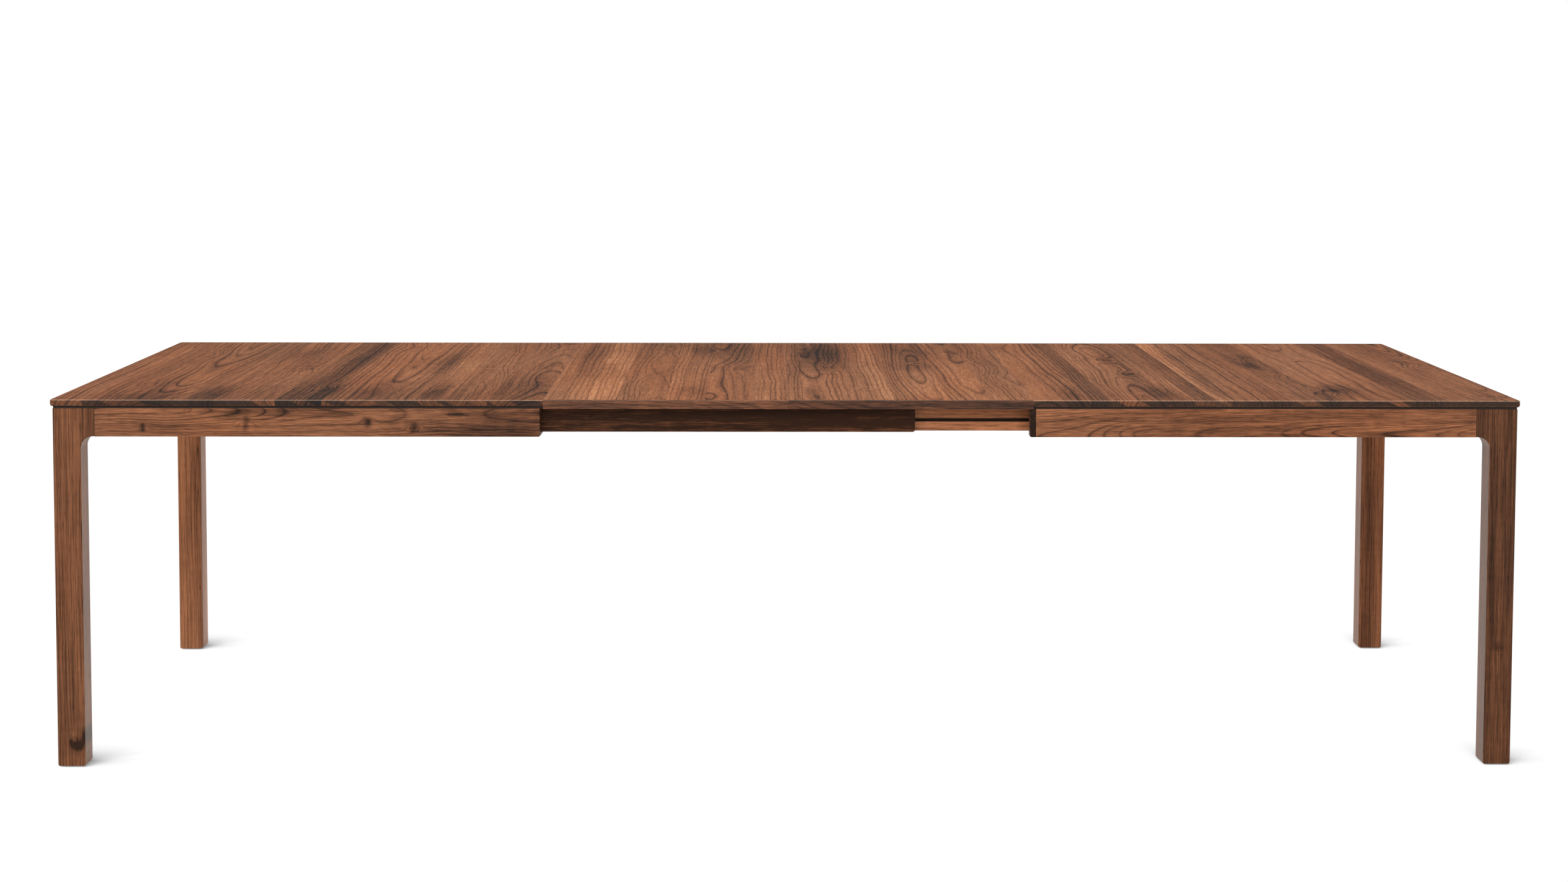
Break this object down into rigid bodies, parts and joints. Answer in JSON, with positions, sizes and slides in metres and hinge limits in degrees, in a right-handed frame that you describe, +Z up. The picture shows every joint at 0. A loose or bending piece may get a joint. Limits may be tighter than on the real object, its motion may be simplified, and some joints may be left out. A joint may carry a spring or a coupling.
{
  "type": "extendable dining table",
  "caption": "Rectangular solid walnut dining table whose halves slide apart on wooden runners to take loose leaves; square legs with coved tops.",
  "frame": {"origin": "on the floor under the middle of the table when it is fully open", "axes": "+X along the table towards the half that slides, -Y towards the front, +Z up"},
  "size_m": [3, 1, 0.76],
  "materials": {
    "walnut_top": "oiled solid walnut staves",
    "walnut_leaf": "oiled solid walnut staves",
    "walnut_band": "oiled long-grain walnut edge band",
    "walnut_leg": "oiled walnut, upright grain",
    "walnut_apron": "oiled walnut, lengthwise grain",
    "walnut_frame": "oiled walnut",
    "dark_walnut": "dark stained walnut",
    "slide_wood": "waxed reddish walnut",
    "beech": "plain beech",
    "zinc_steel": "zinc plated",
    "glide_plastic": "matte"
  },
  "bodies": {
    "left_half": {"back_runner": "dark_walnut", "back_runner_tongue": "beech", "front_runner": "dark_walnut", "front_runner_tongue": "beech", "left_back_apron": "walnut_apron", "left_back_corner_brace": "walnut_frame", "left_back_leg": "walnut_leg", "left_bracket_screws": "zinc_steel", "left_end_apron": "walnut_apron", "left_foot_glides": "glide_plastic", "left_front_apron": "walnut_apron", "left_front_corner_brace": "walnut_frame", "left_front_leg": "walnut_leg", "left_hanger_bolts": "zinc_steel", "left_hanger_nuts": "zinc_steel", "left_inner_cross_rail": "walnut_frame", "left_outer_cross_rail": "walnut_frame", "left_top": "walnut_top", "left_top_brackets": "zinc_steel", "runner_screws": "zinc_steel"},
    "right_half": {"apron_dowels": "beech", "back_rail": "slide_wood", "front_rail": "slide_wood", "rail_brackets": "zinc_steel", "rail_screws": "zinc_steel", "rail_stops": "slide_wood", "right_back_apron": "walnut_apron", "right_back_corner_brace": "walnut_frame", "right_back_leg": "walnut_leg", "right_bracket_screws": "zinc_steel", "right_end_apron": "walnut_apron", "right_foot_glides": "glide_plastic", "right_front_apron": "walnut_apron", "right_front_corner_brace": "walnut_frame", "right_front_leg": "walnut_leg", "right_hanger_bolts": "zinc_steel", "right_hanger_nuts": "zinc_steel", "right_inner_cross_rail": "walnut_frame", "right_outer_cross_rail": "walnut_frame", "right_top": "walnut_top", "right_top_brackets": "zinc_steel", "right_top_dowels": "beech"},
    "leaf_1": {"leaf_1": "walnut_leaf", "leaf_1_back_band": "walnut_band", "leaf_1_dowels": "beech", "leaf_1_front_band": "walnut_band"},
    "leaf_2": {"leaf_2": "walnut_leaf", "leaf_2_back_band": "walnut_band", "leaf_2_dowels": "beech", "leaf_2_front_band": "walnut_band"}
  },
  "joints": [
    {"name": "extension_slide", "type": "slide", "parent": "left_half", "child": "right_half", "axis": [1, 0, 0], "range_m": [-1, 0]},
    {"name": "leaf_1_lift", "type": "slide", "parent": "left_half", "child": "leaf_1", "axis": [0, 0, 1], "range_m": [0, 0.5]},
    {"name": "leaf_2_lift", "type": "slide", "parent": "left_half", "child": "leaf_2", "axis": [0, 0, 1], "range_m": [0, 0.5]}
  ],
  "couplings": [
    {"joint": "leaf_1_lift", "follows": "extension_slide", "ratio": -0.5},
    {"joint": "leaf_2_lift", "follows": "extension_slide", "ratio": -0.5}
  ]
}
